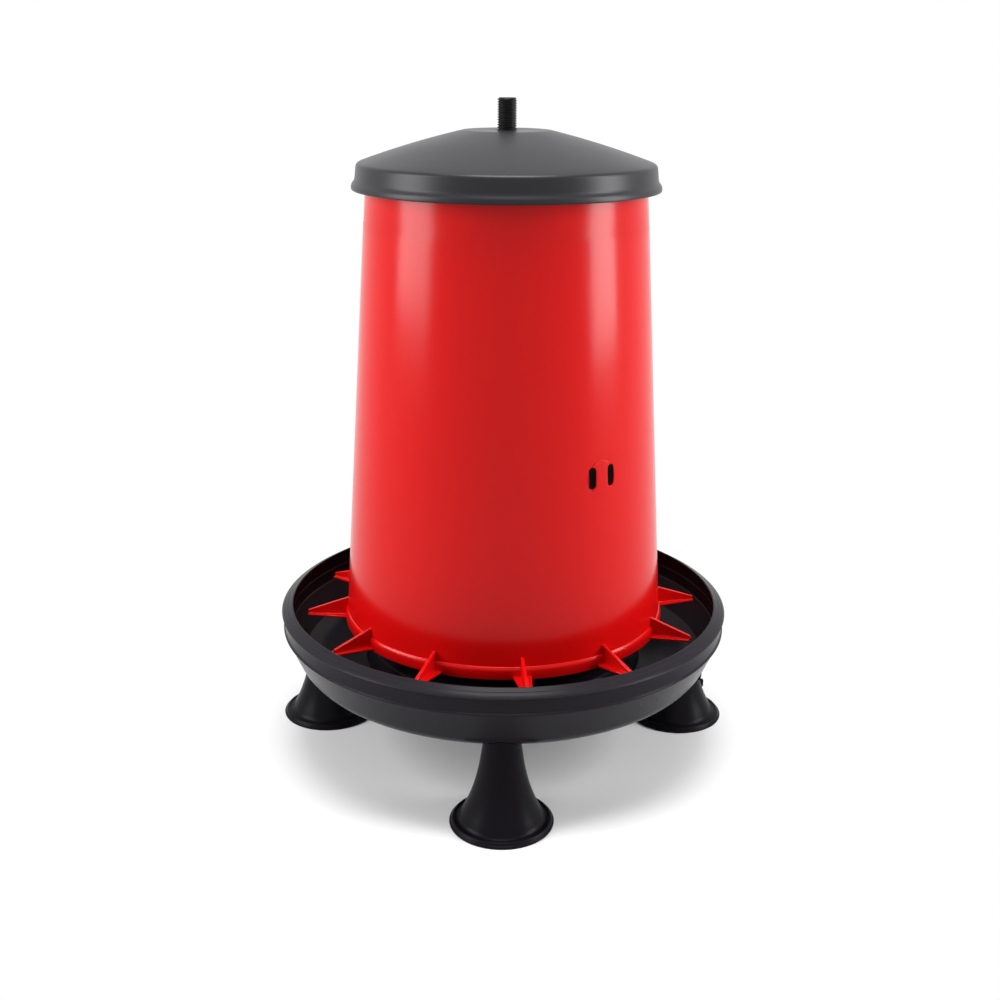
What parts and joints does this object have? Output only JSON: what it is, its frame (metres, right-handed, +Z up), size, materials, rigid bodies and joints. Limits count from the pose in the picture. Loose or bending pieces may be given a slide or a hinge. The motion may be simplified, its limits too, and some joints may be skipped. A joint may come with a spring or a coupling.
{
  "type": "hopper feeder",
  "caption": "Poultry feeder: tapered hopper with a toothed foot ring and domed lid on a threaded stem, over a round pan with trumpet feet.",
  "frame": {"origin": "middle of the outline on the ground under the feet; the stem's axis stands 5.15 mm behind it", "axes": "+Z up along the stem; +X to the right of someone facing the front foot; the front foot is towards -Y"},
  "size_m": [0.4164, 0.4098, 0.568],
  "materials": {
    "hopper": "glossy moulded red",
    "pan": "satin moulded black",
    "lid": "satin moulded charcoal",
    "feet": "glossy moulded black",
    "stem": "threaded moulded black",
    "crossbar": "moulded black",
    "nuts": "moulded black"
  },
  "bodies": {
    "base": {"pan": "pan", "foot_front": "feet", "foot_left": "feet", "foot_right": "feet", "stem": "stem", "pan_nut": "nuts"},
    "hopper_unit": {"hopper": "hopper", "crossbar": "crossbar", "lid": "lid"},
    "adjusting_nut": {"adjusting_nut": "nuts"}
  },
  "joints": [
    {"name": "hopper_lift", "type": "slide", "parent": "base", "child": "hopper_unit", "axis": [0, 0, 1], "range_m": [-0.024, 0.02]},
    {"name": "nut_turn", "type": "hinge", "parent": "hopper_unit", "child": "adjusting_nut", "pos_m": [0, 0.00515, 0.2636], "axis": [0, 0, 1], "range_deg": [-4330, 3610]}
  ],
  "couplings": [
    {"joint": "nut_turn", "follows": "hopper_lift", "rad_per_m": 3141.6}
  ]
}
